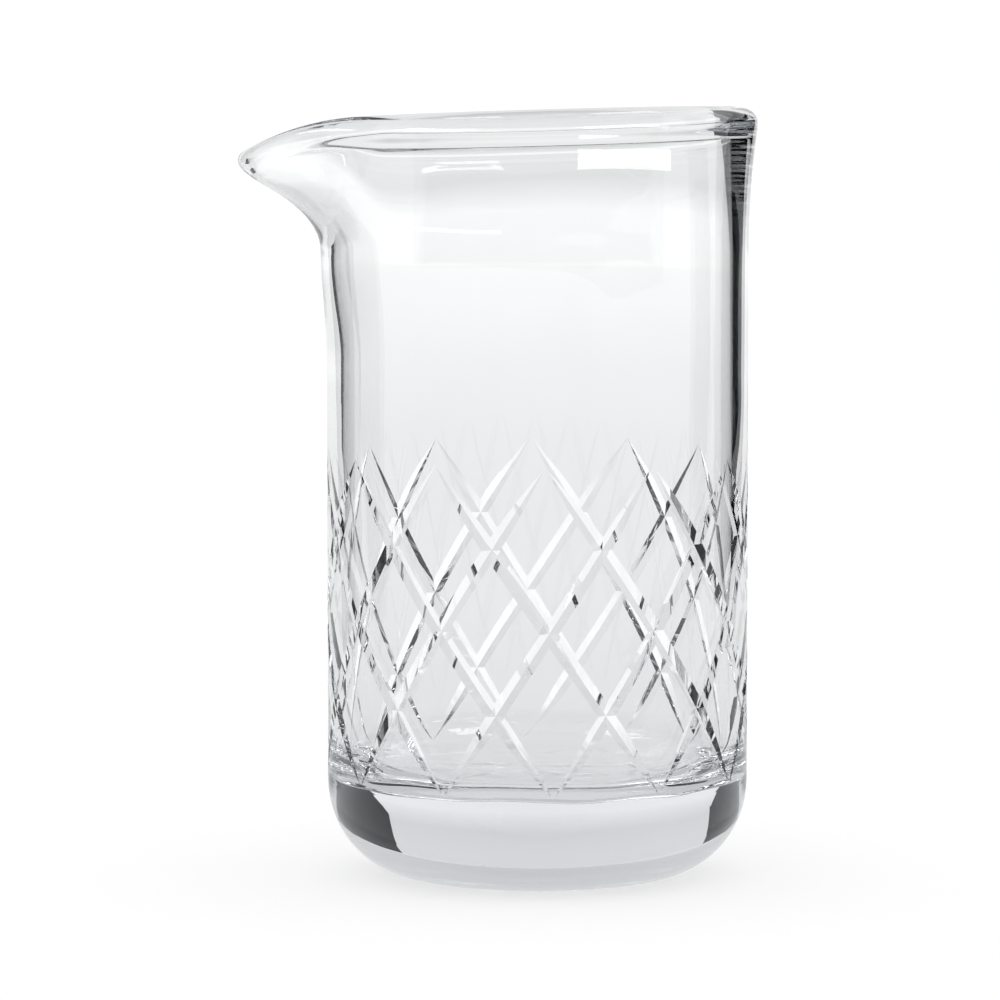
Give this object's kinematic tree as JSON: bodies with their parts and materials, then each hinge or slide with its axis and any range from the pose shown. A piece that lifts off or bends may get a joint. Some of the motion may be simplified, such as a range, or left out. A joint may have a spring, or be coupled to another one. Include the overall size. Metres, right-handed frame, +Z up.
{
  "type": "mixing glass",
  "caption": "Thick-walled cylindrical bar mixing glass with a pulled pouring spout, heavy rounded base and a lattice of cut V grooves.",
  "frame": {"origin": "centre of the flat foot, on the plane that the glass rests on", "axes": "+Z up along the axis of the body towards the rim, spout pointing to -X"},
  "size_m": [0.1084, 0.0918, 0.1607],
  "materials": {
    "clear_glass": "polished"
  },
  "bodies": {
    "root": {"glass_vessel": "clear_glass"}
  },
  "joints": []
}
